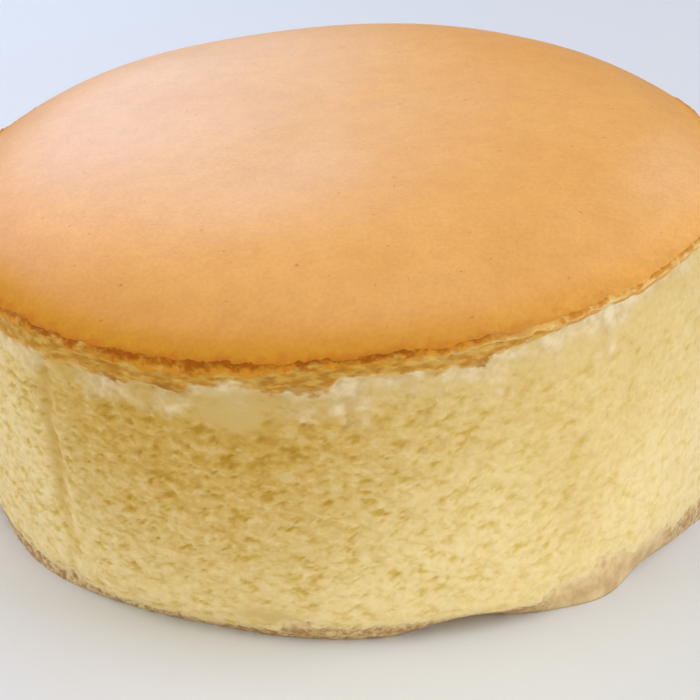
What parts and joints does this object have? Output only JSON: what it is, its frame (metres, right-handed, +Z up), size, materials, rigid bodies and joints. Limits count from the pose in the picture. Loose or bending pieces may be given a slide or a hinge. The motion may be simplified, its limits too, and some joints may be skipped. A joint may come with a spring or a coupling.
{
  "type": "japanese cheesecake",
  "caption": "Whole tall round soufflé cheesecake with a smooth golden domed crust, a torn brown rim and open pale yellow crumb sides, standing on a flat tan foot.",
  "frame": {"origin": "centre of the flat underside that the cake stands on", "axes": "+Z up, out of the domed crust; -Y towards the side shown at the front; +X towards the side where the rim stands highest"},
  "size_m": [0.1865, 0.184, 0.0858],
  "materials": {
    "crumb": "soft open sponge crumb, matte",
    "crust": "smooth baked crust, satin",
    "foot_skin": "thin baked skin, matte"
  },
  "bodies": {
    "root": {"cheesecake": "crumb"}
  },
  "joints": []
}
